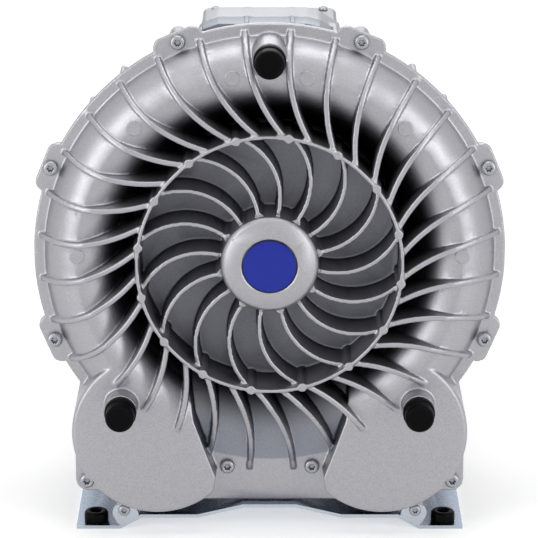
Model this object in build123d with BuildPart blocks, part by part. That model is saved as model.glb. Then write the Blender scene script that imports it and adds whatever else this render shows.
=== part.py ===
from build123d import *
from math import cos, sin, radians
import os

# Side channel blower: a finned ring-shaped cover and casing with a vaned wheel between them, two
# silencer tubes below, and the motor that drives the wheel behind. Millimetres throughout.
# The origin is on the floor, in the middle of the four foot holes. +Z is up, the cover looks to -Y.
os.makedirs("parts", exist_ok=True)

# main sizes
SHAFT_Z = 237.0  # height of the shaft above the floor
FACE_Y = -72.0  # front face of the cover's flange; depths below are counted back from it
FLANGE_R = 191.0
JOINT = 5.5  # depth of the plane where the flanges of cover and casing meet
COVER_BACK = 12.0  # inside the flange the cover reaches further back, into the casing's bore
SPIGOT_R = 182.0
CASING_FLANGE_BACK = 16.0
CASING_INSET = 2.0  # the casing's flange stands back by this much from the cover's edge
MIRROR = 52.0  # the casing's form at depth d is the cover's at depth MIRROR - d

# side channel
CHANNEL_R = 153.0
CHANNEL_HALF = 24.0
WHEEL_R = 176.5
WHEEL_BORE_R = 177.5
WHEEL_FRONT, WHEEL_BACK = 12.5, 39.5
CASING_LAND = 40.0

# fastening round the flange
LUG_ANGLES = (22.5, 67.5, 112.5)
LUG_R, LUG_WIDTH = 198.0, 41.0
SCREW_R = 190.5
SCREW_END, TAB_SCREW_END = 26.0, 15.0
LOW_SCREW_ANGLE, LOW_SCREW_R = 169.2, 187.5
CORNER_X, CORNER_Z = 152.0, -197.0
TAB_SCREW_X, TAB_SCREW_Z = 121.0, -220.0  # where the foot bracket's tabs are screwed on

# silencers, which stand one each side below the shaft
PIPE_X, PIPE_Z, PIPE_R, PIPE_WALL = 93.0, -147.5, 69.0, 5.0
DISC_FRONT = -24.5
TORUS_CREST_R = 155.0
PIPE_BACK = 196.0
PORT_R = 29.5
PLATE_LOW = -214.0

# ribs and vanes of the cover
RIBS, VANES = 32, 16
RIB_WIDTH, VANE_WIDTH = 4.0, 3.0
RING_R, RING_WALL = 106.5, 2.5
RING_FRONT = -34.0
HUB_R = 39.3
DISH_FLOOR = 8.0
VANE_CREST = -25.0
STANDOFF_R, STANDOFF_SEAT, STANDOFF_ANGLES = 171.0, -40.0, (0, 135, -135)

# shaft and bearings
SHAFT_R = 15.0
BEARING_OUT, BEARING_IN, BEARING_W = 31.0, 15.0, 16.0
FRONT_BEARING, REAR_BEARING = 48.0, 240.0  # depth of each bearing's front face
BALLS, BALL_R = 7, 4.7

# motor
STATOR_R, STATOR_BORE, ROTOR_R = 75.0, 47.6, 47.0
STACK_FRONT, STACK_BACK = 86.0, 204.0
HOUSING_R, FIN_R = 82.0, 97.0
MOTOR_FRONT, MOTOR_BACK = 46.0, 236.0
FLANGE_SCREW_R, FLANGE_SCREW_ANGLES = 90.0, (50, 130, 230, 310)
SHIELD_BOLT_R, SHIELD_BOLT_ANGLES = 78.5, (0, 90, 180, 270)
COWL_R, COWL_BACK = 99.0, 333.0

# foot bracket
SHEET = 3.0
FOOT_X, FOOT_Y = 145.0, 70.0
BRACKET_LONG = 164.0
BRACKET_FRONT = -10.0
TAB_BACK = BRACKET_FRONT + SHEET
BRACKET_TOP = 13.0  # height above the floor of the bracket's raised steps

SHAFT_AXIS = Axis((0, 0, SHAFT_Z), (0, 1, 0))
SECTION = Plane(origin=(0, FACE_Y, SHAFT_Z), x_dir=(1, 0, 0), z_dir=(0, 0, 1))


def front(depth, x=0.0, z=0.0):
    """A sketch plane square to the shaft and seen from the front, x and z counted from the shaft."""
    return Plane(origin=(x, FACE_Y + depth, SHAFT_Z + z), x_dir=(1, 0, 0), z_dir=(0, -1, 0))


def clock(radius, angle):
    """The point at a radius and a clockwise angle from the top."""
    return (radius * sin(radians(angle)), radius * cos(radians(angle)))


def save(piece, name):
    piece.part.label = name
    export_step(piece.part, f"parts/{name}.step")


def ring(name, inner, outer, near, far):
    """A plain ring on the shaft's axis from one depth to another."""
    with BuildPart() as piece:
        with BuildSketch(front(far)):
            Circle(outer)
            Circle(inner, mode=Mode.SUBTRACT)
        extrude(amount=far - near)
    save(piece, name)


def tab_screw_places():
    return [(-TAB_SCREW_X, TAB_SCREW_Z), (TAB_SCREW_X, TAB_SCREW_Z)]


def lug_screw_places():
    """Where the screws of the flange stand, in the sketch plane of front()."""
    places = [clock(SCREW_R, side * angle) for angle in LUG_ANGLES for side in (-1, 1)]
    places += [clock(LOW_SCREW_R, side * LOW_SCREW_ANGLE) for side in (-1, 1)]
    return places + [(side * CORNER_X, CORNER_Z) for side in (-1, 1)]


def turned(angles):
    """Places on the shaft's axis turned so that local +X points at each clockwise angle."""
    return Locations(*[Location((0, 0, 0), (0, 0, 90 - angle)) for angle in angles])


def pipe_circles(radius):
    with Locations((-PIPE_X, PIPE_Z), (PIPE_X, PIPE_Z)):
        Circle(radius)


def flange_outline(inset=0.0):
    """The outline that cover and casing share: ring, screw lugs, pipe ends and the low plate."""
    Circle(FLANGE_R - inset)
    with turned([side * angle for angle in LUG_ANGLES for side in (-1, 1)]):
        with Locations((LUG_R - inset - 20, 0)):
            RectangleRounded(40, LUG_WIDTH - inset, 8)
    pipe_circles(PIPE_R)
    low = PLATE_LOW + inset
    with Locations((0, (low - 100) / 2)):
        Rectangle(2 * PIPE_X, -100 - low)
    for side in (-1, 1):
        with Locations((side * (CORNER_X - 12), CORNER_Z + 12)):
            RectangleRounded(42, 42, 9)
        with Locations((side * (TAB_SCREW_X - 2), TAB_SCREW_Z + 5)):
            SlotCenterToCenter(10.8, 14, rotation=-68 * side)


def torus_line(mirrored=False):
    """The outside of the ring-shaped bulge, from the flange over the crest to the dish floor."""
    flip = (lambda d: MIRROR - d) if mirrored else (lambda d: d)
    crest = (TORUS_CREST_R, flip(DISC_FRONT))
    ThreePointArc((182, flip(0)), (171.5, flip(-16)), crest)
    ThreePointArc(crest, (138.5, flip(-18.0)), (126, flip(-4)))
    Line((126, flip(-4)), (113, flip(DISH_FLOOR)))


# ---------------------------------------------------------------- cover
# One aluminium die casting: a flanged ring with the side channel inside, ribs outside, and a
# recessed dish of curved vanes round the hub.
with BuildSketch() as rib_foot:  # straight at the flange, then bending to meet the ring
    with BuildLine():
        straight = Line((187.5, 1.5), (178, 1.5))
        TangentArc(straight @ 1, (104.6, -21.8), tangent=(-1, 0))
    trace(line_width=RIB_WIDTH)

with BuildSketch() as vane_foot:  # from beside a ring boss, sickle-shaped, to the hub
    with BuildLine():
        ThreePointArc((104.5, -5), (71, -23), (37.5, -16.5))
    trace(line_width=VANE_WIDTH)

with BuildSketch() as stripper_window:  # the sector below the ring that has no channel
    with BuildLine():
        Polyline((0, -215), (50, -215), (44.5, -186), (53, -163), (62.5, -136), (67.5, -92), (0, -92))
        mirror(about=Plane.YZ)
    make_face()

with BuildSketch() as wide_window:
    add(stripper_window.sketch)
    offset(amount=PIPE_WALL)


def rib_set(angles, near, far, crest):
    """Ribs between two depths, trimmed to a ring-shaped crest line given by a function."""
    with BuildPart() as ribs:
        with BuildSketch(front(far)):
            with turned(angles):
                add(rib_foot.sketch)
        extrude(amount=far - near)
        with BuildSketch(SECTION):
            with BuildLine():
                crest()
            make_face()
        revolve(axis=SHAFT_AXIS, mode=Mode.INTERSECT)
    return ribs.part


def section_at(angle):
    """A plane through the shaft at a clockwise angle: local X is the radius, local Y the depth."""
    outward = (sin(radians(angle)), 0, cos(radians(angle)))
    normal = (-cos(radians(angle)), 0, sin(radians(angle)))
    return Plane(origin=(0, FACE_Y, SHAFT_Z), x_dir=outward, z_dir=normal)


CHANNEL_END = 147.0  # the channel runs from this angle on one side, over the top, to the other


def side_channel(land, deep):
    """The half-round groove that the wheel's blades sweep past, from the land plane inwards."""
    with BuildPart() as groove:
        with BuildSketch(section_at(-CHANNEL_END)):
            with Locations((CHANNEL_R, deep)):
                Circle(CHANNEL_HALF)
            with Locations((CHANNEL_R, (land + deep) / 2)):
                Rectangle(2 * CHANNEL_HALF, abs(land - deep))
        revolve(axis=SHAFT_AXIS, revolution_arc=2 * CHANNEL_END)
    return groove.part


def cover_crest():
    ThreePointArc((187.5, 0), (172.5, -19), (150, -31))
    Polyline((150, -31), (104, -32), (104, 10), (178, 10), (178, 5), (187.5, 5), (187.5, 0))


def stripper_crest():
    ThreePointArc((187.5, -2.5), (158, -17), (124, -30))
    Polyline((124, -30), (104, -32), (104, 10), (178, 10), (178, 5), (187.5, 5), (187.5, -2.5))


rib_angles = [(k + 0.5) * 360 / RIBS for k in range(RIBS)]
stripper_angles = [a for a in rib_angles if abs(a - 180) < 20]
channel_angles = [a for a in rib_angles if abs(a - 180) > 20]
cover_ribs = rib_set(channel_angles, -33, 10, cover_crest)
stripper_ribs = rib_set(stripper_angles, -33, 10, stripper_crest)

with BuildPart() as bulge:
    with BuildSketch(SECTION):
        with BuildLine():
            torus_line()
            Polyline((113, DISH_FLOOR), (113, COVER_BACK), (SPIGOT_R, COVER_BACK), (SPIGOT_R, 0))
        make_face()
    revolve(axis=SHAFT_AXIS)
    with BuildSketch(front(COVER_BACK)):
        add(stripper_window.sketch)
    extrude(amount=60, mode=Mode.SUBTRACT)

with BuildPart() as silencer_ends:  # flat round ends, level with the torus's crest
    with BuildSketch(front(0)):
        pipe_circles(PIPE_R)
        add(stripper_window.sketch, mode=Mode.SUBTRACT)
        Circle(TORUS_CREST_R, mode=Mode.SUBTRACT)
        with Locations((-CORNER_X, CORNER_Z), (CORNER_X, CORNER_Z)):
            Circle(10, mode=Mode.SUBTRACT)
    extrude(amount=-DISC_FRONT)
    rims = silencer_ends.faces().sort_by(Axis.Y)[:2].edges().filter_by(GeomType.CIRCLE)
    fillet([rim for rim in rims if rim.radius < TORUS_CREST_R - 1], 3)

with BuildPart() as cover:
    with BuildSketch(front(JOINT)):
        flange_outline()
    extrude(amount=JOINT)
    with BuildSketch(front(COVER_BACK)):  # disc that closes the wheel's chamber
        Circle(SPIGOT_R - 2)
    extrude(amount=COVER_BACK - JOINT)
    with BuildSketch(SECTION):  # the dish, cut from the flat front down to its floor
        with BuildLine():
            Polyline((0, 0), (0, DISH_FLOOR), (113, DISH_FLOOR))
            ThreePointArc((113, DISH_FLOOR), (144, 2.8), (178, 0))
            Line((178, 0), (0, 0))
        make_face()
    revolve(axis=SHAFT_AXIS, mode=Mode.SUBTRACT)
    add(bulge.part)
    add(silencer_ends.part)
    add(cover_ribs)
    add(stripper_ribs)
    with BuildSketch(front(10)):  # ring, its small bosses, and the vanes inside it
        Circle(RING_R + RING_WALL / 2)
        Circle(RING_R - RING_WALL / 2, mode=Mode.SUBTRACT)
        with turned([8.1 + k * 360 / VANES for k in range(VANES)]):
            with Locations((RING_R, 0)):
                Circle(3.6)
    extrude(amount=10 - RING_FRONT)
    with BuildSketch(front(10)):
        with turned([8.1 + k * 360 / VANES for k in range(VANES)]):
            add(vane_foot.sketch)
    extrude(amount=10 - VANE_CREST)
    with BuildSketch(SECTION):  # hub with a rounded rim
        with BuildLine():
            Polyline((0, 10), (0, RING_FRONT), (HUB_R - 3, RING_FRONT))
            RadiusArc((HUB_R - 3, RING_FRONT), (HUB_R, RING_FRONT + 3), -3)
            Polyline((HUB_R, RING_FRONT + 3), (HUB_R, 10), (0, 10))
        make_face()
    revolve(axis=SHAFT_AXIS)
    with BuildSketch(front(10)):  # ears where every other vane meets the hub
        with turned([-12.3 + 45 * k for k in range(8)]):
            with Locations((HUB_R + 1, 0)):
                Trapezoid(9, 5, 62, rotation=-90)
    extrude(amount=10 - VANE_CREST + 1.5)
    with BuildSketch(front(0)):  # bosses of the three stand-off feet
        with turned(STANDOFF_ANGLES):
            with Locations((STANDOFF_R, 0)):
                Circle(13)
    extrude(amount=-STANDOFF_SEAT)
    with BuildSketch(front(RING_FRONT)):  # seat of the badge
        Circle(23.2)
    extrude(amount=-1.5, mode=Mode.SUBTRACT)
    with BuildSketch(SECTION):  # hollow behind the hub, for the nut on the shaft
        with BuildLine():
            Polyline((0, COVER_BACK), (0, -29), (30, -29), (33, -24), (33, COVER_BACK), (0, COVER_BACK))
        make_face()
    revolve(axis=SHAFT_AXIS, mode=Mode.SUBTRACT)
    add(side_channel(COVER_BACK, 8), mode=Mode.SUBTRACT)
    with BuildSketch(front(COVER_BACK)):  # silencer chambers
        pipe_circles(PIPE_R - PIPE_WALL)
        Circle(TORUS_CREST_R + 1, mode=Mode.SUBTRACT)
        add(wide_window.sketch, mode=Mode.SUBTRACT)
        with Locations((-CORNER_X, CORNER_Z), (CORNER_X, CORNER_Z)):
            Circle(15.5, mode=Mode.SUBTRACT)
    extrude(amount=COVER_BACK - DISC_FRONT - PIPE_WALL, mode=Mode.SUBTRACT)
    with BuildSketch(front(0)):  # bosses that the foot bracket's tabs lie on
        with Locations(*tab_screw_places()):
            Circle(6.5)
    extrude(amount=-TAB_BACK)
    with BuildSketch(front(JOINT)):
        with Locations(*lug_screw_places(), *tab_screw_places()):
            Circle(3)
    extrude(amount=JOINT - TAB_BACK, mode=Mode.SUBTRACT)
save(cover, "cover")

# ---------------------------------------------------------------- casing
# The rear casting: the other half of the channel, the wheel's chamber, both silencer pipes, the
# pad on top, and the seat of the motor with its front bearing.
def casing_crest():
    Line((187.5, 14), (187.5, MIRROR))
    ThreePointArc((187.5, MIRROR), (172.5, MIRROR + 19), (150, MIRROR + 31))
    Polyline((150, MIRROR + 31), (112, MIRROR + 32), (112, 14), (187.5, 14))


casing_ribs = rib_set(rib_angles, 14, 86, casing_crest)
BEARING_BOSS_R, BEARING_BOSS_BACK = 40.0, 66.0
MOTOR_SEAT_R, MOTOR_SEAT = 100.0, 46.0
PORT_SCREW_ANGLES = (58, 178, -62)  # round each pipe, mirrored on the other side
BRACKET_BOLT_DEPTHS = (40.0, 134.0)
FOOT_PAD_LOW = BRACKET_TOP - SHAFT_Z


def bracket_bolt_places():
    return [(x, FACE_Y + depth) for x in (-PIPE_X, PIPE_X) for depth in BRACKET_BOLT_DEPTHS]


def port_screw_places(side):
    """Where the screws of a port's end flange stand, counted from the pipe's own middle."""
    return [clock(PIPE_R, side * angle) for angle in PORT_SCREW_ANGLES]


with BuildPart() as casing:
    with BuildSketch(front(CASING_FLANGE_BACK)):
        flange_outline(CASING_INSET)
    extrude(amount=CASING_FLANGE_BACK - JOINT)
    with BuildSketch(SECTION):
        with BuildLine():
            torus_line(mirrored=True)
            Polyline(
                (113, MIRROR - DISH_FLOOR), (MOTOR_SEAT_R, MIRROR - DISH_FLOOR), (MOTOR_SEAT_R, MOTOR_SEAT),
                (0, MOTOR_SEAT), (0, JOINT + 2), (182, JOINT + 2), (182, MIRROR),
            )
        make_face()
    revolve(axis=SHAFT_AXIS)
    add(casing_ribs)
    with BuildSketch(front(BEARING_BOSS_BACK)):
        Circle(BEARING_BOSS_R)
    extrude(amount=22)
    with BuildSketch(front(SCREW_END + 2)):  # bosses behind the screw lugs
        with Locations(*lug_screw_places()):
            Circle(7)
    extrude(amount=SCREW_END + 2 - COVER_BACK)
    with BuildSketch(front(78)):  # cast pad on top, with two ribs across it
        with BuildLine():
            Polyline(
                (-56, 160), (-56, 172), (-53.5, 183), (-41, 187.5),
                (30, 187.5), (40, 185), (57, 174.5), (57, 160), close=True,
            )
        make_face()
        with turned((-5.6, 5.6)):
            with Locations((180, 0)):
                Rectangle(18, RIB_WIDTH)
    extrude(amount=38)
    with BuildSketch(front(PIPE_BACK)):  # silencer pipes
        pipe_circles(PIPE_R)
    extrude(amount=PIPE_BACK - CASING_FLANGE_BACK)
    for side in (-1, 1):  # screw bosses at the pipes' ends
        with BuildSketch(front(PIPE_BACK, side * PIPE_X, PIPE_Z)):
            with Locations(*port_screw_places(side)):
                Circle(6.5)
        extrude(amount=18)
    with BuildSketch(front(150)):  # pads under the pipes, which stand on the bracket
        with Locations((-PIPE_X, FOOT_PAD_LOW + 4.5), (PIPE_X, FOOT_PAD_LOW + 4.5)):
            Rectangle(34, 9)
    extrude(amount=126)
    with BuildSketch(front(COVER_BACK)):
        Circle(SPIGOT_R + 0.3)
    extrude(amount=COVER_BACK, mode=Mode.SUBTRACT)
    with BuildSketch(front(CASING_LAND)):
        Circle(WHEEL_BORE_R)
    extrude(amount=CASING_LAND, mode=Mode.SUBTRACT)
    with BuildSketch(front(MOTOR_SEAT)):
        Circle(22)
    extrude(amount=10, mode=Mode.SUBTRACT)
    with BuildSketch(front(FRONT_BEARING + 1)):
        Circle(19)
    extrude(amount=10, mode=Mode.SUBTRACT)
    with BuildSketch(front(BEARING_BOSS_BACK)):
        Circle(BEARING_OUT)
    extrude(amount=BEARING_BOSS_BACK - FRONT_BEARING, mode=Mode.SUBTRACT)
    add(side_channel(CASING_LAND, MIRROR - 8), mode=Mode.SUBTRACT)
    with BuildSketch(front(PIPE_BACK)):
        pipe_circles(PIPE_R - PIPE_WALL)
    extrude(amount=PIPE_BACK, mode=Mode.SUBTRACT)
    with BuildSketch(front(SCREW_END)):  # threads for the screws of cover, tabs, motor, ports and bracket
        with Locations(*lug_screw_places()):
            Circle(2.6)
    extrude(amount=SCREW_END, mode=Mode.SUBTRACT)
    with BuildSketch(front(TAB_SCREW_END)):
        with Locations(*tab_screw_places()):
            Circle(2.6)
    extrude(amount=TAB_SCREW_END, mode=Mode.SUBTRACT)
    with BuildSketch(front(MOTOR_SEAT)):
        with turned(FLANGE_SCREW_ANGLES):
            with Locations((FLANGE_SCREW_R, 0)):
                Circle(3.0)
    extrude(amount=4, mode=Mode.SUBTRACT)
    for side in (-1, 1):
        with BuildSketch(front(PIPE_BACK, side * PIPE_X, PIPE_Z)):
            with Locations(*port_screw_places(side)):
                Circle(2.4)
        extrude(amount=14, mode=Mode.SUBTRACT)
    with BuildSketch(Plane.XY.offset(BRACKET_TOP)):
        with Locations(*bracket_bolt_places()):
            Circle(3)
    extrude(amount=8, mode=Mode.SUBTRACT)
save(casing, "casing")

# ---------------------------------------------------------------- wheel and shaft
BLADES = 48
WHEEL_LAND_R = 128.0
WHEEL_MID = (WHEEL_FRONT + WHEEL_BACK) / 2
HUB_FRONT = 2.0

with BuildPart() as wheel:  # cast aluminium, with open blade pockets on both faces
    with BuildSketch(SECTION):
        with BuildLine():
            Polyline((SHAFT_R, HUB_FRONT), (27, HUB_FRONT), (27, 20), (112, 20), (112, WHEEL_FRONT))
            Line((112, WHEEL_FRONT), (WHEEL_LAND_R, WHEEL_FRONT))
            Polyline((WHEEL_LAND_R, WHEEL_FRONT), (137, 21), (154, WHEEL_MID - 1.5), (WHEEL_R, WHEEL_MID - 1.5), (WHEEL_R, WHEEL_MID))
            Line((WHEEL_R, WHEEL_MID), (WHEEL_R, WHEEL_MID + 1.5))
            Polyline((WHEEL_R, WHEEL_MID + 1.5), (154, WHEEL_MID + 1.5), (137, 31))
            Line((137, 31), (WHEEL_LAND_R, WHEEL_BACK))
            Polyline((WHEEL_LAND_R, WHEEL_BACK), (112, WHEEL_BACK), (112, 32), (27, 32))
            Polyline((27, 32), (27, WHEEL_BACK), (SHAFT_R, WHEEL_BACK), (SHAFT_R, HUB_FRONT))
        make_face()
    revolve(axis=SHAFT_AXIS)
    with BuildSketch(front(WHEEL_BACK)):
        with turned([k * 360 / BLADES for k in range(BLADES)]):
            with Locations(((WHEEL_LAND_R + WHEEL_R) / 2 - 1, 0)):
                Rectangle(WHEEL_R - WHEEL_LAND_R + 1.4, 2.4)
    extrude(amount=WHEEL_BACK - WHEEL_FRONT)
    with BuildSketch(front(32)):
        with turned((30, 90, 150, 210, 270, 330)):
            with Locations((70, 0)):
                Circle(13)
    extrude(amount=12, mode=Mode.SUBTRACT)
    with BuildSketch(front(WHEEL_BACK)):  # keyway
        with Locations((0, SHAFT_R)):
            Rectangle(8, 6.6)
    extrude(amount=WHEEL_BACK - HUB_FRONT, mode=Mode.SUBTRACT)
save(wheel, "wheel")

SHAFT_TIP, SHAFT_END = -17.0, 300.0
THREAD_R = 10.0
FAN_SEAT_R = 12.0
with BuildPart() as shaft:
    with BuildSketch(SECTION):
        with BuildLine():
            Polyline(
                (0, SHAFT_TIP), (THREAD_R - 1.5, SHAFT_TIP), (THREAD_R, SHAFT_TIP + 1.5),
                (THREAD_R, -1), (SHAFT_R, -1), (SHAFT_R, FRONT_BEARING + BEARING_W), (19, FRONT_BEARING + BEARING_W),
                (19, REAR_BEARING), (SHAFT_R, REAR_BEARING), (SHAFT_R, REAR_BEARING + 22),
                (FAN_SEAT_R, REAR_BEARING + 22), (FAN_SEAT_R, SHAFT_END), (0, SHAFT_END), close=True,
            )
        make_face()
    revolve(axis=SHAFT_AXIS)
    with BuildSketch(front(36)):
        with Locations((0, SHAFT_R)):
            Rectangle(8, 8)
    extrude(amount=30, mode=Mode.SUBTRACT)
save(shaft, "shaft")

with BuildPart() as wheel_key:
    with BuildSketch(front(36)):
        with Locations((0, SHAFT_R - 0.4)):
            Rectangle(8, 7.2)
    extrude(amount=30)
save(wheel_key, "wheel_key")

ring("wheel_washer", SHAFT_R, 20.0, -1.0, HUB_FRONT)
with BuildPart() as wheel_nut:
    with BuildSketch(front(-1)):
        RegularPolygon(15, 6, major_radius=False)
        Circle(THREAD_R, mode=Mode.SUBTRACT)
    extrude(amount=10)
save(wheel_nut, "wheel_nut")

with BuildPart() as shaft_seal:  # lip seal in the casing wall, its lip clear of the turning shaft
    with BuildSketch(SECTION):
        with BuildLine():
            Polyline((22, 40.5), (22, 46), (20, 46), (20, 42.5), (16.5, 42.5), (16, 45.5), (15.08, 45))
            Polyline((15.08, 45), (15.08, 44), (16, 40.5), (22, 40.5))
        make_face()
    revolve(axis=SHAFT_AXIS)
save(shaft_seal, "shaft_seal")


# ---------------------------------------------------------------- bearings
PITCH_R = (BEARING_OUT + BEARING_IN) / 2
GROOVE_R = BALL_R + 0.35


def bearing(side, depth):
    """A deep-groove ball bearing: two grooved rings, and the balls in their cage between."""
    middle = depth + BEARING_W / 2
    with BuildPart() as outer:
        with BuildSketch(SECTION):
            with Locations((BEARING_OUT - 2.75, middle)):
                Rectangle(5.5, BEARING_W)
            with Locations((PITCH_R, middle)):
                Circle(GROOVE_R, mode=Mode.SUBTRACT)
        revolve(axis=SHAFT_AXIS)
    save(outer, f"{side}_bearing_outer_ring")
    with BuildPart() as inner:
        with BuildSketch(SECTION):
            with Locations((BEARING_IN + 2.75, middle)):
                Rectangle(5.5, BEARING_W)
            with Locations((PITCH_R, middle)):
                Circle(GROOVE_R, mode=Mode.SUBTRACT)
        revolve(axis=SHAFT_AXIS)
    save(inner, f"{side}_bearing_inner_ring")
    with BuildPart() as balls:
        with Locations(*[
            (x, FACE_Y + middle, SHAFT_Z + z)
            for x, z in [clock(PITCH_R, 360 * k / BALLS) for k in range(BALLS)]
        ]):
            Sphere(BALL_R)
    save(balls, f"{side}_bearing_balls")
    with BuildPart() as cage:  # crown cage, whose band runs beside the balls
        with BuildSketch(front(middle + BALL_R + 2)):
            Circle(PITCH_R + 1.8)
            Circle(PITCH_R - 1.8, mode=Mode.SUBTRACT)
        extrude(amount=1.8)
    save(cage, f"{side}_bearing_cage")


bearing("front", FRONT_BEARING)
bearing("rear", REAR_BEARING)

# ---------------------------------------------------------------- motor
ring("rotor_core", 19.0, ROTOR_R, STACK_FRONT, STACK_BACK)
ring("stator_core", STATOR_BORE, STATOR_R, STACK_FRONT, STACK_BACK)

with BuildPart() as stator_windings:  # the coil ends that stand out of both faces of the stack
    with BuildSketch(SECTION):
        for depth in (STACK_FRONT - 10, STACK_BACK + 10):
            with Locations((61, depth)):
                Rectangle(20, 20)
    revolve(axis=SHAFT_AXIS)
save(stator_windings, "stator_windings")

FINS = 36
BOX_FLAT_Z, BOX_HALF = 104.0, 48.0
BOX_FRONT, BOX_BACK = 100.0, 196.0
with BuildPart() as motor_housing:
    with BuildSketch(front(MOTOR_BACK)):
        Circle(HOUSING_R)
        Circle(STATOR_R, mode=Mode.SUBTRACT)
    extrude(amount=MOTOR_BACK - MOTOR_FRONT)
    with BuildSketch(front(MOTOR_BACK)):
        with turned([(k + 0.5) * 360 / FINS for k in range(FINS)]):
            with Locations(((HOUSING_R + FIN_R) / 2 - 1, 0)):
                Rectangle(FIN_R - HOUSING_R + 2, 2.4)
    extrude(amount=MOTOR_BACK - MOTOR_FRONT - 14)
    with BuildSketch(front(MOTOR_FRONT + 10)):
        Circle(99)
        Circle(STATOR_R, mode=Mode.SUBTRACT)
    extrude(amount=10)
    with BuildSketch(front(BOX_BACK)):
        with Locations((0, (BOX_FLAT_Z + 78) / 2)):
            Rectangle(2 * BOX_HALF, BOX_FLAT_Z - 78)
        Circle(STATOR_R + 2, mode=Mode.SUBTRACT)
    extrude(amount=BOX_BACK - BOX_FRONT)
    with BuildSketch(front(MOTOR_FRONT + 10)):
        with turned(FLANGE_SCREW_ANGLES):
            with Locations((FLANGE_SCREW_R, 0)):
                Circle(3.4)
    extrude(amount=10, mode=Mode.SUBTRACT)
    with BuildSketch(front(MOTOR_BACK)):
        with turned(SHIELD_BOLT_ANGLES):
            with Locations((SHIELD_BOLT_R, 0)):
                Circle(2)
    extrude(amount=12, mode=Mode.SUBTRACT)
save(motor_housing, "motor_housing")

SHIELD_SEAT = 246.0
COWL_SCREW_ANGLES = (45, 135, 225, 315)


def cowl_screw_plane(angle, radius=97.2):
    """A plane facing outwards where a cowl screw stands, at a clockwise angle."""
    outward = (sin(radians(angle)), 0, cos(radians(angle)))
    x, z = clock(radius, angle)
    return Plane(origin=(x, FACE_Y + MOTOR_BACK + 4, SHAFT_Z + z), x_dir=(0, 1, 0), z_dir=outward)


with BuildPart() as end_shield:  # carries the rear bearing in a hub
    with BuildSketch(SECTION):
        with BuildLine():
            Polyline(
                (BEARING_OUT, 238), (BEARING_OUT, 258), (21, 258), (21, 262), (37, 262), (40, 247),
                (88, 244), (88, MOTOR_BACK), (STATOR_R, MOTOR_BACK), (STATOR_R, MOTOR_BACK - 4),
                (70, MOTOR_BACK - 4), (70, 238), close=True,
            )
        make_face()
    revolve(axis=SHAFT_AXIS)
    with BuildSketch(front(MOTOR_BACK + 8)):  # lugs that the cowl is screwed to
        with turned((45, 135, 225, 315)):
            with Locations((91.6, 0)):
                Rectangle(11.2, 14)
    extrude(amount=8)
    with BuildSketch(front(SHIELD_SEAT)):  # flat seats and holes of the shield's own bolts
        with turned(SHIELD_BOLT_ANGLES):
            with Locations((SHIELD_BOLT_R, 0)):
                Circle(7)
    extrude(amount=SHIELD_SEAT - MOTOR_BACK)
    with BuildSketch(front(SHIELD_SEAT)):
        with turned(SHIELD_BOLT_ANGLES):
            with Locations((SHIELD_BOLT_R, 0)):
                Circle(2.3)
    extrude(amount=SHIELD_SEAT - MOTOR_BACK, mode=Mode.SUBTRACT)
    for angle in COWL_SCREW_ANGLES:
        with BuildSketch(cowl_screw_plane(angle)):
            Circle(1.9)
        extrude(amount=-9, mode=Mode.SUBTRACT)
save(end_shield, "end_shield")

with BuildPart() as end_shield_bolts:
    with BuildSketch(front(SHIELD_SEAT + 4)):
        with turned(SHIELD_BOLT_ANGLES):
            with Locations((SHIELD_BOLT_R, 0)):
                RegularPolygon(4, 6, major_radius=False)
    extrude(amount=4)
    with BuildSketch(front(SHIELD_SEAT)):
        with turned(SHIELD_BOLT_ANGLES):
            with Locations((SHIELD_BOLT_R, 0)):
                Circle(2)
    extrude(amount=SHIELD_SEAT - MOTOR_BACK + 10)
save(end_shield_bolts, "end_shield_bolts")

with BuildPart() as motor_flange_screws:
    with BuildSketch(front(MOTOR_FRONT + 14)):
        with turned(FLANGE_SCREW_ANGLES):
            with Locations((FLANGE_SCREW_R, 0)):
                RegularPolygon(5, 6, major_radius=False)
    extrude(amount=4)
    with BuildSketch(front(MOTOR_FRONT + 10)):
        with turned(FLANGE_SCREW_ANGLES):
            with Locations((FLANGE_SCREW_R, 0)):
                Circle(3)
    extrude(amount=13.5)
save(motor_flange_screws, "motor_flange_screws")
ring("preload_washer", 22.0, 30.5, 256.2, 257.8)

FAN_BACK = 298.0
with BuildPart() as cooling_fan:  # radial blades on a disc, the same in both turning directions
    with BuildSketch(SECTION):
        with BuildLine():
            Polyline(
                (FAN_SEAT_R, 268), (20, 268), (22, 288), (74, 288), (76, 290), (22, 291),
                (20, FAN_BACK), (FAN_SEAT_R, FAN_BACK), close=True,
            )
        make_face()
    revolve(axis=SHAFT_AXIS)
    with BuildSketch(front(289)):
        with turned([k * 40 for k in range(9)]):
            with Locations((48, 0)):
                Rectangle(56, 3)
    extrude(amount=21)
save(cooling_fan, "cooling_fan")
ring("fan_clip", FAN_SEAT_R, FAN_SEAT_R + 4, FAN_BACK, FAN_BACK + 1.2)

GRILLE_RINGS = (24, 38, 52, 66)
with BuildPart() as fan_cowl:  # pressed sheet cap with rows of air slots in its end
    with BuildSketch(SECTION):
        with BuildLine():
            Polyline(
                (COWL_R, 226), (COWL_R, COWL_BACK - 12), (COWL_R - 12, COWL_BACK), (0, COWL_BACK),
                (0, COWL_BACK - 1.5), (COWL_R - 13, COWL_BACK - 1.5), (COWL_R - 1.5, COWL_BACK - 13),
                (COWL_R - 1.5, 226), close=True,
            )
        make_face()
    revolve(axis=SHAFT_AXIS)
    for radius in GRILLE_RINGS:
        count = int(radius / 3.5)
        with BuildSketch(front(COWL_BACK)):
            with turned([k * 360 / count for k in range(count)]):
                with Locations((radius, 0)):
                    Rectangle(8, 12)
        extrude(amount=2, mode=Mode.SUBTRACT)
    for angle in COWL_SCREW_ANGLES:
        with BuildSketch(cowl_screw_plane(angle)):
            Circle(2.2)
        extrude(amount=4, mode=Mode.SUBTRACT)
save(fan_cowl, "fan_cowl")

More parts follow.
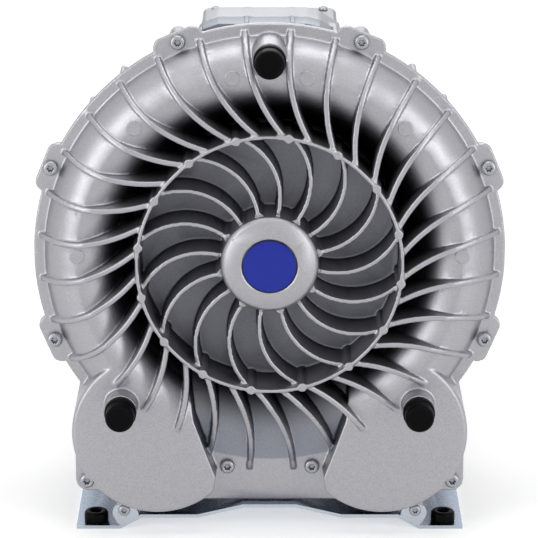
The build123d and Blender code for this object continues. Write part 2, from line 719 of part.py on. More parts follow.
with BuildPart() as cowl_screws:
    for angle in COWL_SCREW_ANGLES:
        with BuildSketch(cowl_screw_plane(angle, COWL_R)):
            Circle(3.8)
        extrude(amount=2.4)
        with BuildSketch(cowl_screw_plane(angle, COWL_R)):
            Circle(1.9)
        extrude(amount=-9)
save(cowl_screws, "cowl_screws")

BOX_TOP = 150.0
LID_SEAT, LID_TOP = SHAFT_Z + 151.5, SHAFT_Z + 160.5


def lid_screw_places():
    return [(x, FACE_Y + depth) for x in (-46, 46) for depth in (BOX_FRONT + 5, BOX_BACK - 5)]


with BuildPart() as terminal_box:
    with BuildSketch(front(BOX_BACK + 4)):
        with Locations((0, (BOX_FLAT_Z + BOX_TOP) / 2)):
            Rectangle(2 * BOX_HALF + 14, BOX_TOP - BOX_FLAT_Z)
    extrude(amount=BOX_BACK - BOX_FRONT + 8)
    with BuildSketch(front(BOX_BACK)):
        with Locations((0, (BOX_FLAT_Z + 4 + BOX_TOP) / 2)):
            Rectangle(2 * BOX_HALF + 6, BOX_TOP - BOX_FLAT_Z - 4)
    extrude(amount=BOX_BACK - BOX_FRONT, mode=Mode.SUBTRACT)
    with BuildSketch(Plane.XY.offset(SHAFT_Z + BOX_FLAT_Z + 2)):  # corner posts for the lid's screws
        with Locations(*lid_screw_places()):
            Rectangle(11, 11)
    extrude(amount=BOX_TOP - BOX_FLAT_Z - 2)
    with BuildSketch(Plane.XY.offset(SHAFT_Z + BOX_TOP)):
        with Locations(*lid_screw_places()):
            Circle(2)
    extrude(amount=-14, mode=Mode.SUBTRACT)
    with BuildSketch(Plane(origin=(60, FACE_Y + 148, SHAFT_Z + 128), x_dir=(0, 1, 0), z_dir=(1, 0, 0))):
        Circle(12.6)
    extrude(amount=-20, mode=Mode.SUBTRACT)
save(terminal_box, "terminal_box")

with BuildPart() as terminal_box_gasket:
    with BuildSketch(Plane.XY.offset(SHAFT_Z + BOX_TOP)):
        with Locations((0, FACE_Y + (BOX_FRONT + BOX_BACK) / 2)):
            Rectangle(2 * BOX_HALF + 12, BOX_BACK - BOX_FRONT + 6)
            Rectangle(2 * BOX_HALF + 6, BOX_BACK - BOX_FRONT, mode=Mode.SUBTRACT)
    extrude(amount=1.5)
save(terminal_box_gasket, "terminal_box_gasket")

with BuildPart() as terminal_box_lid:
    with BuildSketch(Plane.XY.offset(LID_SEAT)):
        with Locations((0, FACE_Y + (BOX_FRONT + BOX_BACK) / 2)):
            RectangleRounded(2 * BOX_HALF + 18, BOX_BACK - BOX_FRONT + 12, 8)
    extrude(amount=LID_TOP - LID_SEAT)
    chamfer(terminal_box_lid.faces().sort_by(Axis.Z)[-1].edges(), 2.5)
    with BuildSketch(Plane.XY.offset(LID_TOP)):
        with Locations(*lid_screw_places()):
            Circle(2.3)
    extrude(amount=LID_SEAT - LID_TOP, mode=Mode.SUBTRACT)
save(terminal_box_lid, "terminal_box_lid")

with BuildPart() as lid_screws:
    with BuildSketch(Plane.XY.offset(LID_TOP)):
        with Locations(*lid_screw_places()):
            Circle(3.9)
    extrude(amount=2.6)
    with BuildSketch(Plane.XY.offset(LID_TOP)):
        with Locations(*lid_screw_places()):
            Circle(2)
    extrude(amount=-21)
save(lid_screws, "lid_screws")

with BuildPart() as terminal_board:
    with BuildSketch(Plane.XY.offset(SHAFT_Z + BOX_FLAT_Z + 4)):
        with Locations((-8, FACE_Y + 148)):
            Rectangle(60, 44)
    extrude(amount=8)
save(terminal_board, "terminal_board")

with BuildPart() as terminal_studs:  # six brass studs with their nuts
    with BuildSketch(Plane.XY.offset(SHAFT_Z + BOX_FLAT_Z + 12)):
        with Locations((-8, FACE_Y + 148)):
            with GridLocations(18, 20, 3, 2):
                Circle(2.5)
    extrude(amount=11)
    with BuildSketch(Plane.XY.offset(SHAFT_Z + BOX_FLAT_Z + 12)):
        with Locations((-8, FACE_Y + 148)):
            with GridLocations(18, 20, 3, 2):
                RegularPolygon(4, 6, major_radius=False)
    extrude(amount=4)
save(terminal_studs, "terminal_studs")

GLAND_Y, GLAND_Z = FACE_Y + 148, SHAFT_Z + 128
with BuildPart() as cable_gland:
    gland_plane = Plane(origin=(BOX_HALF + 1, GLAND_Y, GLAND_Z), x_dir=(0, 1, 0), z_dir=(1, 0, 0))
    with BuildSketch(gland_plane):
        Circle(12.6)
    extrude(amount=6)
    with BuildSketch(gland_plane.offset(6)):
        RegularPolygon(16.5, 6, major_radius=False)
    extrude(amount=8)
    with BuildSketch(gland_plane.offset(14)):
        Circle(15)
    extrude(amount=14, taper=6)
    with BuildSketch(gland_plane):
        Circle(6.5)
    extrude(amount=28, mode=Mode.SUBTRACT)
save(cable_gland, "cable_gland")

# ---------------------------------------------------------------- silencers and ports
LINER_FRONT, LINER_BACK = 80.0, 188.0
for side, turn in (("inlet", -1), ("outlet", 1)):
    x = turn * PIPE_X
    with BuildPart() as liner:  # ring of sound-absorbing foam
        with BuildSketch(front(LINER_BACK, x, PIPE_Z)):
            Circle(PIPE_R - PIPE_WALL)
            Circle(37, mode=Mode.SUBTRACT)
        extrude(amount=LINER_BACK - LINER_FRONT)
    save(liner, f"{side}_silencer_foam")
    with BuildPart() as tube:  # the perforated tube that holds the foam back
        with BuildSketch(front(LINER_BACK, x, PIPE_Z)):
            Circle(37)
            Circle(35.5, mode=Mode.SUBTRACT)
        extrude(amount=LINER_BACK - LINER_FRONT)
    save(tube, f"{side}_silencer_tube")
    with BuildPart() as port:  # end flange with the pipe thread
        with BuildSketch(front(PIPE_BACK + 8, x, PIPE_Z)):
            Circle(PIPE_R)
            with Locations(*port_screw_places(turn)):
                Circle(6.5)
        extrude(amount=8)
        with BuildSketch(front(PIPE_BACK + 30, x, PIPE_Z)):
            RegularPolygon(38, 8, major_radius=False)
        extrude(amount=22)
        with BuildSketch(front(PIPE_BACK, x, PIPE_Z)):
            Circle(PIPE_R - PIPE_WALL)
        extrude(amount=8)
        with BuildSketch(front(PIPE_BACK + 30, x, PIPE_Z)):
            Circle(PORT_R)
        extrude(amount=38, mode=Mode.SUBTRACT)
        with BuildSketch(front(PIPE_BACK + 8, x, PIPE_Z)):
            with Locations(*port_screw_places(turn)):
                Circle(2.7)
        extrude(amount=8, mode=Mode.SUBTRACT)
    save(port, f"{side}_port_flange")

with BuildPart() as port_flange_screws:
    for turn in (-1, 1):
        with BuildSketch(front(PIPE_BACK + 12, turn * PIPE_X, PIPE_Z)):
            with Locations(*port_screw_places(turn)):
                RegularPolygon(4, 6, major_radius=False)
        extrude(amount=4)
        with BuildSketch(front(PIPE_BACK + 8, turn * PIPE_X, PIPE_Z)):
            with Locations(*port_screw_places(turn)):
                Circle(2.4)
        extrude(amount=20)
save(port_flange_screws, "port_flange_screws")

# ---------------------------------------------------------------- feet and bracket
SLOPE = 29.0  # angle of the sheet between its low and its raised steps
with BuildPart() as foot_bracket:  # one folded sheet, raised twice towards the middle
    with BuildSketch(front(BRACKET_FRONT + BRACKET_LONG, 0, -SHAFT_Z)):
        with BuildLine() as fold:
            half = [(161, 1.5), (125, 1.5), (107, 11.5), (60, 11.5), (22, 20.5)]
            Polyline(*half, *[(-x, z) for x, z in reversed(half)])
        trace(line_width=SHEET)
    extrude(amount=BRACKET_LONG)
    with BuildSketch(front(TAB_BACK, 0, -SHAFT_Z)):  # tabs bent up from the sloping parts
        for side in (-1, 1):
            with Locations((side * 119.9, 13.5)):
                RectangleRounded(20, 19, 7, rotation=-side * SLOPE)
    extrude(amount=SHEET)
    with BuildSketch(front(TAB_BACK)):
        with Locations(*tab_screw_places()):
            Circle(3)
    extrude(amount=SHEET, mode=Mode.SUBTRACT)
    with BuildSketch(Plane.XY.offset(BRACKET_TOP)):
        with Locations(*bracket_bolt_places()):
            Circle(3.3)
    extrude(amount=-SHEET - 1, mode=Mode.SUBTRACT)
    with Locations(*[(x, y, 1.5) for x in (-FOOT_X, FOOT_X) for y in (-FOOT_Y, FOOT_Y)]):
        Cylinder(7.5, 2 * SHEET, mode=Mode.SUBTRACT)
save(foot_bracket, "foot_bracket")

with BuildPart() as bracket_screws:  # pan heads on the tabs
    with BuildSketch(front(BRACKET_FRONT)):
        with Locations(*tab_screw_places()):
            Circle(5)
    extrude(amount=3)
    chamfer(bracket_screws.faces().sort_by(Axis.Y)[:2].edges(), 1)
    with BuildSketch(front(TAB_SCREW_END - 1)):
        with Locations(*tab_screw_places()):
            Circle(2.6)
    extrude(amount=TAB_SCREW_END - 1 - BRACKET_FRONT)
save(bracket_screws, "bracket_screws")

with BuildPart() as bracket_bolts:  # from below, into the pads under the pipes
    with BuildSketch(Plane.XY.offset(BRACKET_TOP - SHEET)):
        with Locations(*bracket_bolt_places()):
            RegularPolygon(5, 6, major_radius=False)
    extrude(amount=-4)
    with BuildSketch(Plane.XY.offset(BRACKET_TOP - SHEET)):
        with Locations(*bracket_bolt_places()):
            Circle(3)
    extrude(amount=10)
save(bracket_bolts, "bracket_bolts")

with BuildPart() as foot_bushes:  # rubber, through the holes of the bracket
    with BuildSketch(Plane.XY):
        with GridLocations(2 * FOOT_X, 2 * FOOT_Y, 2, 2):
            Circle(7.5)
    extrude(amount=SHEET)
    with BuildSketch(Plane.XY.offset(SHEET)):
        with GridLocations(2 * FOOT_X, 2 * FOOT_Y, 2, 2):
            Circle(10)
    extrude(amount=9)
    fillet(foot_bushes.faces().sort_by(Axis.Z)[-4:].edges(), 2.5)
    with BuildSketch(Plane.XY):
        with GridLocations(2 * FOOT_X, 2 * FOOT_Y, 2, 2):
            Circle(4.5)
    extrude(amount=12, mode=Mode.SUBTRACT)
save(foot_bushes, "foot_bushes")

# ---------------------------------------------------------------- small parts on the cover
with BuildPart() as cover_screws:
    with BuildSketch(front(0)):
        with Locations(*lug_screw_places()):
            Circle(6.4)
    extrude(amount=4.6)
    chamfer(cover_screws.faces().sort_by(Axis.Y)[:10].edges(), 1.4)
    with BuildSketch(front(SCREW_END - 2)):
        with Locations(*lug_screw_places()):
            Circle(2.6)
    extrude(amount=SCREW_END - 2)
    with BuildSketch(front(-4.6)):
        with Locations(*lug_screw_places()):
            RegularPolygon(3, 6)
    extrude(amount=-2.5, mode=Mode.SUBTRACT)
save(cover_screws, "cover_screws")

with BuildPart() as standoff_feet:
    with BuildSketch(front(STANDOFF_SEAT)):
        with Locations(*[clock(STANDOFF_R, angle) for angle in STANDOFF_ANGLES]):
            Circle(12.2)
    extrude(amount=20)
    fillet(standoff_feet.faces().sort_by(Axis.Y)[:3].edges(), 1.5)
save(standoff_feet, "standoff_feet")

with BuildPart() as hub_badge:
    with BuildSketch(front(RING_FRONT + 1.5)):
        Circle(23)
    extrude(amount=2.3)
    chamfer(hub_badge.faces().sort_by(Axis.Y)[0].edges(), 0.6)
save(hub_badge, "hub_badge")
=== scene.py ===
from math import cos, pi, radians, sin

import bmesh
import bpy
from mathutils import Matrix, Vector


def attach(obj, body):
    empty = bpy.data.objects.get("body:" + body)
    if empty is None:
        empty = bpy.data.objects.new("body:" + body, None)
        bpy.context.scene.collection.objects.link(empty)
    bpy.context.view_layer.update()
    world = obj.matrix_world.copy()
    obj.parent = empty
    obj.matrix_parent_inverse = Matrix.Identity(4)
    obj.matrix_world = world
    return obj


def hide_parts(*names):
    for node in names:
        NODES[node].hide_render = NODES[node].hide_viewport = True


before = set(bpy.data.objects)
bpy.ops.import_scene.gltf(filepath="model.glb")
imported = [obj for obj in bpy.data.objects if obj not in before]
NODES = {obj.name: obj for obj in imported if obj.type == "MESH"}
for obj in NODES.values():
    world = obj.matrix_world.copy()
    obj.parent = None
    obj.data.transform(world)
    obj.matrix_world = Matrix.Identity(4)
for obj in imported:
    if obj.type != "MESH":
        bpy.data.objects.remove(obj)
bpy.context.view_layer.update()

MM = 0.001
SCENE = bpy.context.scene

# ------------------------------------------------------------------ studio
# A long lens looks down a little at the cover, over a pale floor in a plain white room. A strip
# lamp stands on each side, with softboxes above and behind, so that rounded metal shows a bright
# edge.
SHAFT_HEIGHT = 237
# The point of the shaft's axis at the front of the cover's flange, and the point to look at.
SHAFT = MM * Vector((0, -72, SHAFT_HEIGHT))
AIM = SHAFT + Vector((-0.0005, 0, -0.0127))
TILT = radians(17.64)
DISTANCE = 2.252
SCENE.view_settings.view_transform = "Standard"


def linear(hexa, dim=1.0):
    """An sRGB hex colour as the linear numbers that a shader wants, dimmed by a factor."""
    channels = [int(hexa[i : i + 2], 16) / 255 for i in (1, 3, 5)]
    lit = [c / 12.92 if c < 0.04045 else ((c + 0.055) / 1.055) ** 2.4 for c in channels]
    return [dim * c for c in lit] + [1]


def feed(tree, made, **links):
    """Gives each named or numbered input of a node a value or a socket."""
    for key, value in links.items():
        number = key[1:]
        socket = made.inputs[int(number) if number.isdigit() else key.replace("_", " ")]
        if isinstance(value, bpy.types.NodeSocket):
            tree.links.new(value, socket)
        else:
            socket.default_value = value


def node(tree, kind, settings=None, **links):
    """Adds a node, sets its properties and feeds its inputs."""
    made = tree.nodes.new(kind)
    for key, value in (settings or {}).items():
        setattr(made, key, value)
    feed(tree, made, **links)
    return made


def maths(tree, operation, *values):
    """The result of a maths node."""
    numbered = {f"_{k}": value for k, value in enumerate(values)}
    return node(tree, "ShaderNodeMath", {"operation": operation}, **numbered).outputs[0]


def new_piece(name, mesh):
    """An object in the scene that shows a mesh."""
    piece = bpy.data.objects.new(name, mesh)
    SCENE.collection.objects.link(piece)
    return piece


def lamp(name, size, power, place):
    """A rectangular lamp that faces the cover."""
    light = bpy.data.lights.new(name, "AREA")
    light.shape = "RECTANGLE"
    light.size, light.size_y = size
    light.energy = power
    holder = new_piece(name, light)
    holder.location = place
    holder.rotation_euler = (SHAFT - Vector(place)).to_track_quat("-Z", "Y").to_euler()


camera = new_piece("camera", bpy.data.cameras.new("camera"))
camera.data.lens = 185.3
camera.data.sensor_width = 36
camera.data.clip_end = 50
camera.location = AIM + DISTANCE * Vector((0, -cos(TILT), sin(TILT)))
camera.rotation_euler = (pi / 2 - TILT, 0, 0)
SCENE.camera = camera
lamp("top_softbox", size=(1.4, 0.5), power=8, place=(0, -0.3, 1.9))
lamp("left_strip", size=(0.35, 1.6), power=11, place=(-1.45, -1.3, 0.7))
lamp("right_strip", size=(0.35, 1.6), power=9.5, place=(1.45, -1.3, 0.7))
lamp("back_softbox", size=(1.6, 1.0), power=12, place=(0, 2.0, 1.6))


def white_rays(tree):
    """One where the camera, a gloss or a clear body looks straight at the background."""
    path = node(tree, "ShaderNodeLightPath").outputs
    either = maths(tree, "MAXIMUM", path["Is Camera Ray"], path["Is Glossy Ray"])
    return maths(tree, "MAXIMUM", either, path["Is Transmission Ray"])


world = bpy.data.worlds.new("white room")
SCENE.world = world
world.use_nodes = True
world.node_tree.nodes.clear()
tree = world.node_tree
room = node(tree, "ShaderNodeBackground", Color=linear("#ffffff"), Strength=0.35)
white = node(tree, "ShaderNodeBackground", Color=linear("#ffffff"), Strength=1.0)
both = node(
    tree, "ShaderNodeMixShader", _0=white_rays(tree), _1=room.outputs[0], _2=white.outputs[0]
)
node(tree, "ShaderNodeOutputWorld", Surface=both.outputs[0])


def material(name):
    """A material with its Principled shader, its object coordinates and its output."""
    made = bpy.data.materials.new(name)
    made.use_nodes = True
    tree = made.node_tree
    tree.nodes.clear()
    shader = node(tree, "ShaderNodeBsdfPrincipled")
    node(tree, "ShaderNodeOutputMaterial", Surface=shader.outputs[0])
    where = node(tree, "ShaderNodeTexCoord").outputs["Object"]
    return made, tree, shader, where


floor = new_piece("floor", bpy.data.meshes.new("floor"))
REACH = 6  # metres from the middle of the floor to its edges
corners = [(-REACH, -REACH, 0), (REACH, -REACH, 0), (REACH, REACH, 0), (-REACH, REACH, 0)]
floor.data.from_pydata(corners, [], [(0, 1, 2, 3)])
paper, tree, shader, where = material("white studio paper")
fibre = node(tree, "ShaderNodeTexNoise", Vector=where, Scale=1 / (6 * MM), Detail=4.0)
dip = node(tree, "ShaderNodeBump", Height=fibre.outputs["Fac"], Strength=0.05, Distance=0.1 * MM)
feed(tree, shader, Base_Color=linear("#f4f4f4"), Roughness=0.9, Normal=dip.outputs["Normal"])
glow = node(tree, "ShaderNodeEmission", Color=linear("#ffffff"), Strength=0.4)
lit = node(tree, "ShaderNodeAddShader", _0=shader.outputs[0], _1=glow.outputs[0])
both = node(
    tree, "ShaderNodeMixShader", _0=white_rays(tree), _1=shader.outputs[0], _2=lit.outputs[0]
)
feed(tree, tree.nodes["Material Output"], Surface=both.outputs[0])
floor.data.materials.append(paper)


# ------------------------------------------------------------------ casing
# The rear half of the blower with both silencer pipes: pressure die-cast aluminium, shot-blasted
# to an even satin grain. The mould leaves its edges and rib roots rounded.
def ramp(tree, share, low, high):
    """A colour that goes from one to another between two (position, colour) stops."""
    made = node(tree, "ShaderNodeValToRGB", Fac=share)
    for stop, (position, colour) in zip(made.color_ramp.elements, (low, high)):
        stop.position = position
        stop.color = colour
    return made.outputs["Color"]


def cast_metal(name, colour, rough=0.42, grain=0.9, metallic=1.0):
    """Cast or rolled metal: satin, specked by shot, with cloudy marks of where it flowed."""
    made, tree, shader, where = material(name)
    cloud = node(tree, "ShaderNodeTexNoise", Vector=where, Scale=1 / (30 * MM), Detail=3.0)
    speck = node(tree, "ShaderNodeTexNoise", Vector=where, Scale=1 / (grain * MM), Detail=2.0)
    dull, bright = linear(colour, 0.88), linear(colour, 1.10)
    speckled = ramp(tree, speck.outputs["Fac"], (0.3, dull), (0.7, bright))
    spread = 0.06
    gloss = node(
        tree, "ShaderNodeMapRange",
        Value=cloud.outputs["Fac"], To_Min=rough - spread, To_Max=rough + spread,
    )
    dent = node(
        tree, "ShaderNodeBump", Height=speck.outputs["Fac"], Strength=0.18, Distance=0.15 * MM
    )
    feed(tree, shader, Base_Color=speckled, Metallic=metallic)
    feed(tree, shader, Roughness=gloss.outputs[0], Normal=dent.outputs["Normal"])
    return made, tree, shader, where, speckled


def dress(finish, *names):
    """Gives CAD nodes that keep their shape a material."""
    for name in names:
        NODES[name].data.materials.clear()
        NODES[name].data.materials.append(finish)


def stand_for(piece, body, slot, *names):
    """A piece moves with a body and is shown instead of CAD nodes; its slot is not used."""
    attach(piece, body)
    if names:
        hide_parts(*names)


def merged_copy(name):
    """A copy of a CAD node's mesh with its loose triangles joined."""
    mesh = NODES[name].data.copy()
    mesh.materials.clear()
    work = bmesh.new()
    work.from_mesh(mesh)
    bmesh.ops.remove_doubles(work, verts=work.verts, dist=0.002 * MM)
    work.to_mesh(mesh)
    work.free()
    return new_piece(name + "_piece", mesh)


def finished(piece):
    """Turns a piece's faces outwards and shades it smooth."""
    work = bmesh.new()
    work.from_mesh(piece.data)
    bmesh.ops.recalc_face_normals(work, faces=work.faces)
    work.to_mesh(piece.data)
    work.free()
    piece.data.shade_smooth()
    return piece


def apply_modifiers(piece):
    """Turns a piece with modifiers into the plain mesh that they make."""
    bpy.context.view_layer.update()
    evaluated = piece.evaluated_get(bpy.context.evaluated_depsgraph_get())
    mesh = bpy.data.meshes.new_from_object(evaluated)
    piece.modifiers.clear()
    piece.data = mesh


def softened(name, voxel, passes):
    """A casting with rounded edges and roots: remeshed on a fine grid, smoothed, then thinned."""
    limit = 190000  # triangles
    piece = merged_copy(name)
    grid = piece.modifiers.new("grid", "REMESH")
    grid.mode = "VOXEL"
    grid.voxel_size = voxel * MM
    smooth = piece.modifiers.new("round", "SMOOTH")
    smooth.iterations = passes
    swell = piece.modifiers.new("swell", "DISPLACE")  # gives back what smoothing takes off
    swell.strength = 0.25 * MM
    swell.mid_level = 0
    apply_modifiers(piece)
    count = 2 * len(piece.data.polygons)
    if count > limit:
        piece.modifiers.new("thin", "DECIMATE").ratio = limit / count
        apply_modifiers(piece)
    corners = [NODES[name].bound_box[0], NODES[name].bound_box[6]]
    for vertex in piece.data.vertices:
        vertex.co = [min(max(at, low), high) for at, low, high in zip(vertex.co, *corners)]
    piece.data.shade_smooth()
    return piece


def profile_solid(name, outline, front, back, width):
    """A bar between two depths, with an outline of (across, up from the shaft) points."""
    mesh = bpy.data.meshes.new(name)
    count = len(outline)
    ends = [SHAFT + MM * Vector((x, depth, z)) for depth in (front, back) for x, z in outline]
    sides = [(k, (k + 1) % count, count + (k + 1) % count, count + k) for k in range(count)]
    caps = [tuple(range(count - 1, -1, -1)), tuple(range(count, 2 * count))]
    mesh.from_pydata(ends, [], caps + sides)
    piece = new_piece(name, mesh)
    bevel = piece.modifiers.new("round", "BEVEL")
    bevel.width = width * MM
    bevel.segments = 3
    bevel.limit_method = "ANGLE"
    bevel.angle_limit = radians(12)
    apply_modifiers(piece)
    return finished(piece)


die_cast = cast_metal("die-cast aluminium", "#95969c")[0]
casing = softened("casing", voxel=1.6, passes=3)
casing.data.materials.append(die_cast)
stand_for(casing, "housing", "cast_aluminium", "casing")

# A web stands on the casing's wall in front of the pad on top, and carries two low ribs.
WEB_R, WEB_TOP_R = 180, 189.5
WEB_FRONT, PAD_FRONT = 15, 42
WEB = [(-56, 172), (-53.5, 183), (-41, 187.5), (30, 187.5), (40, 185), (57, 174.5)]
arc = [radians(a) for a in (18.4, 12, 6, 0, -6, -12, -18.1)]
WEB += [(WEB_R * sin(a), WEB_R * cos(a)) for a in arc]
webs = [profile_solid("plinth_web", WEB, WEB_FRONT, PAD_FRONT, width=1.2)]
for side, angle in (("left", radians(-5.6)), ("right", radians(5.6))):
    bar = [(WEB_R + 1, -2), (WEB_TOP_R, -2), (WEB_TOP_R, 2), (WEB_R + 1, 2)]
    turned_bar = [
        (r * sin(angle) + h * cos(angle), r * cos(angle) - h * sin(angle)) for r, h in bar
    ]
    rib = profile_solid(f"plinth_rib_{side}", turned_bar, WEB_FRONT - 1, PAD_FRONT - 1, width=0.8)
    webs.append(rib)
# Painted shade: the web and its ribs take a darker, bluer copy of the casing's metal.
shaded_cast = cast_metal("die-cast aluminium, painted shade", "#7d828b")[0]
for web in webs:
    web.data.materials.append(shaded_cast)
    stand_for(web, "housing", "cast_aluminium")

# ------------------------------------------------------------------ cover
# The front half of the blower: the same die casting, with 32 ribs over the side channel and a
# dish of 16 curved vanes round the hub. Painted shade makes its deep places darker than the crests.
def from_shaft(tree, where):
    """A place's offset from the middle of the flange's front, and its distance from the axis."""
    offset = node(tree, "ShaderNodeVectorMath", {"operation": "SUBTRACT"}, _0=where, _1=SHAFT)
    across = node(
        tree, "ShaderNodeVectorMath", {"operation": "MULTIPLY"}, _0=offset.outputs[0], _1=(1, 0, 1)
    )
    length = node(tree, "ShaderNodeVectorMath", {"operation": "LENGTH"}, _0=across.outputs[0])
    return offset.outputs[0], length.outputs["Value"]


def blend(tree, share, low, high, kind="MIX"):
    """Mixes or multiplies two colours by a share."""
    made = node(tree, "ShaderNodeMix", {"data_type": "RGBA", "blend_type": kind}, Factor=share)
    for socket, value in (("A", low), ("B", high)):
        feed(tree, made, **{socket: value})
    return made.outputs["Result"]


def step(tree, value, start, end):
    """Rises smoothly from 0 to 1 between two distances in millimetres."""
    smooth = {"interpolation_type": "SMOOTHSTEP"}
    return node(
        tree, "ShaderNodeMapRange", smooth, Value=value, From_Min=start * MM, From_Max=end * MM
    ).outputs[0]


cover_metal, tree, shader, where, speckled = cast_metal("die-cast aluminium, ribbed", "#a8a7ac")
offset, radius = from_shaft(tree, where)
apart = node(tree, "ShaderNodeSeparateXYZ", Vector=offset).outputs
# Painted shade: the valley round the dish is painted near black and the dish floor a darker grey,
# both rising to full colour towards the crests and outside the side channel.
raised = step(tree, apart["Y"], 4, -24)
outside = step(tree, radius, 122, 158)
valley = step(tree, radius, 103, 110)
shade = blend(tree, valley, linear("#adafb3"), linear("#2e2e33"))
bright = blend(tree, maths(tree, "MAXIMUM", raised, outside), shade, (1, 1, 1, 1))
# Painted shade: the sunk lower zone inside the flange is tinted darker and bluer.
low = step(tree, apart["Z"], -100, -160)
sunk = step(tree, apart["Y"], -20, -8)
sunk_blue_shade = maths(tree, "MULTIPLY", maths(tree, "MULTIPLY", low, sunk), step(tree, radius, 179, 177))
blue_shaded = blend(tree, sunk_blue_shade, speckled, linear("#d2d7de"), "MULTIPLY")
feed(tree, shader, Base_Color=blend(tree, 1.0, blue_shaded, bright, "MULTIPLY"))

cover = softened("cover", voxel=1.0, passes=2)
CROWN_R, CROWN_WIDTH, CROWN_DEPTH = 24, 16, -24
for vertex in cover.data.vertices:  # the hub's face is crowned: its rim lies 5 mm behind the badge
    across, back, up = (vertex.co - SHAFT) / MM
    from_axis = (across**2 + up**2) ** 0.5
    if CROWN_R < from_axis < CROWN_R + CROWN_WIDTH + 1 and back < CROWN_DEPTH:
        bend = 0.62 * ((from_axis - CROWN_R) / CROWN_WIDTH) ** 2
        vertex.co.y += (CROWN_DEPTH - back) * bend * MM
cover.data.materials.append(cover_metal)
stand_for(cover, "housing", "cast_aluminium", "cover")


def spot(x, depth, z):
    """A place from millimetres across, back from the flange's front, and up from the shaft."""
    return SHAFT + MM * Vector((x, depth, z))


def ring_of(radius, depth, angles):
    """Places on a circle round the shaft, at clockwise angles from the top."""
    return [spot(radius * sin(radians(a)), depth, radius * cos(radians(a))) for a in angles]


def new_tree(name, output, **inputs):
    """A geometry node tree with named inputs of given kinds and one geometry output."""
    tree = bpy.data.node_groups.new(name, "GeometryNodeTree")
    for key, kind in inputs.items():
        socket_type = "NodeSocket" + kind
        tree.interface.new_socket(key.replace("_", " "), in_out="INPUT", socket_type=socket_type)
    tree.interface.new_socket(output, in_out="OUTPUT", socket_type="NodeSocketGeometry")
    return tree, node(tree, "NodeGroupInput").outputs


def run_tree(piece, tree, values):
    """Runs a tree on a piece with values for its named inputs, as the last of its modifiers."""
    made = piece.modifiers.new(tree.name, "NODES")
    made.node_group = tree
    for item in tree.interface.items_tree:
        if item.name in values:
            made[item.identifier] = values[item.name]


def drawn_curve(tree, share, column):
    """A value read along a column of numbers that stand at even steps."""
    curve = node(tree, "ShaderNodeFloatCurve", Value=share)
    line = curve.mapping.curves[0]
    last = len(column) - 1
    for k in range(1, last):
        line.points.new(k / last, column[k])
    line.points[0].location = (0, column[0])
    line.points[-1].location = (1, column[-1])
    for point in line.points:
        point.handle_type = "VECTOR"
    curve.mapping.update()
    return curve.outputs[0]


def lathe_tree(name, outline, lobes=0, lobed=(), wave=0.0):
    """Nodes that turn an outline of (radius, height) shares into a solid on every point."""
    tree, given = new_tree(
        name, "Pieces", Points="Geometry", Radius="Float", Height="Float", Finish="Material"
    )
    rows = len(outline)
    columns_round = 49
    grid = node(tree, "GeometryNodeMeshGrid", Vertices_X=columns_round, Vertices_Y=rows)
    place = node(tree, "GeometryNodeInputPosition")
    at = node(tree, "ShaderNodeSeparateXYZ", Vector=place.outputs[0]).outputs
    angle = maths(tree, "MULTIPLY", at["X"], 2 * pi)
    along = maths(tree, "ADD", at["Y"], 0.5)
    columns = [*zip(*outline), [float(k in lobed) for k in range(rows)]]
    shares = [drawn_curve(tree, along, column) for column in columns]
    ripple = maths(tree, "COSINE", maths(tree, "MULTIPLY", angle, float(lobes)))
    swell = maths(tree, "MULTIPLY_ADD", maths(tree, "MULTIPLY", ripple, shares[2]), wave, 1.0)
    reach = maths(tree, "MULTIPLY", maths(tree, "MULTIPLY", shares[0], given["Radius"]), swell)
    high = maths(tree, "MULTIPLY", shares[1], given["Height"])
    x = maths(tree, "MULTIPLY", maths(tree, "COSINE", angle), reach)
    y = maths(tree, "MULTIPLY", maths(tree, "SINE", angle), reach)
    target = node(tree, "ShaderNodeCombineXYZ", X=x, Y=y, Z=high)
    turned = node(
        tree, "GeometryNodeSetPosition", Geometry=grid.outputs["Mesh"], Position=target.outputs[0]
    )
    closed = node(
        tree, "GeometryNodeMergeByDistance", Geometry=turned.outputs[0], Distance=0.005 * MM
    )
    facing = node(
        tree, "GeometryNodeInputNamedAttribute", {"data_type": "FLOAT_VECTOR"}, Name="facing"
    )
    turn = node(
        tree, "FunctionNodeAlignRotationToVector", {"axis": "Z"}, Vector=facing.outputs[0]
    )
    spread = node(
        tree, "GeometryNodeInstanceOnPoints",
        Points=given["Points"], Instance=closed.outputs[0], Rotation=turn.outputs[0],
    )
    real = node(tree, "GeometryNodeRealizeInstances", Geometry=spread.outputs[0])
    done = node(tree, "GeometryNodeSetMaterial", Geometry=real.outputs[0], Material=given["Finish"])
    node(tree, "NodeGroupOutput", Pieces=done.outputs[0])
    return tree


def place_pieces(name, tree, places, facing, finish, radius, height):
    """Runs a lathe tree on places in metres, each facing a direction, and keeps the plain mesh."""
    mesh = bpy.data.meshes.new(name)
    mesh.from_pydata(places, [], [])
    directions = facing if isinstance(facing, list) else [facing] * len(places)
    facings = mesh.attributes.new("facing", "FLOAT_VECTOR", "POINT")
    facings.data.foreach_set("vector", [c for d in directions for c in d])
    piece = new_piece(name, mesh)
    run_tree(piece, tree, {"Radius": radius * MM, "Height": height * MM, "Finish": finish})
    apply_modifiers(piece)
    return finished(piece)


FORWARD = (0, -1, 0)
pad_outline = [(0, 1), (0.5, 1), (0.84, 1), (0.93, 0.94), (0.99, 0.8), (1, 0.5), (1, 0), (0, 0)]
pad_tree = lathe_tree("ejector pad", pad_outline)
pad_places = ring_of(radius=155, depth=-23.4, angles=(-130, -88, -44, -11, 11, 44, 88))
pads = place_pieces(
    "ejector_pads", pad_tree, pad_places, FORWARD, cover_metal, radius=6.2, height=1.35
)
stand_for(pads, "housing", "cast_aluminium")

